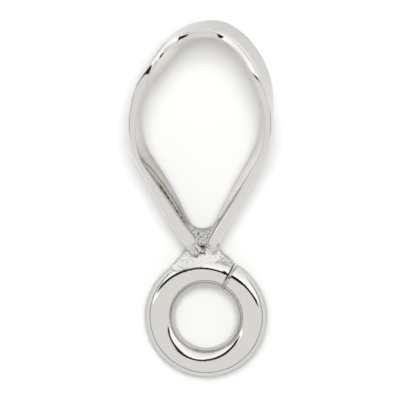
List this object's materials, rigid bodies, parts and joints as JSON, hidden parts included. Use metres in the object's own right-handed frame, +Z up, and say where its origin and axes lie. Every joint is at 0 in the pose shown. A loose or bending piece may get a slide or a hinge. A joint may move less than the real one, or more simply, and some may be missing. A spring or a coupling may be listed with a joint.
{
  "type": "bail finding",
  "caption": "Polished silver bail finding: a tapered band bent to a teardrop loop, soldered by its two legs to an open jump ring.",
  "frame": {"origin": "on the surface the finding lies on, under the middle of its box", "axes": "+Y along the finding from the jump ring to the top of the loop, +X to the right seen from above, +Z up from the surface it lies on"},
  "size_m": [0.0058, 0.0146, 0.0043],
  "materials": {
    "silver": "polished"
  },
  "bodies": {
    "root": {"bail": "silver"}
  },
  "joints": []
}
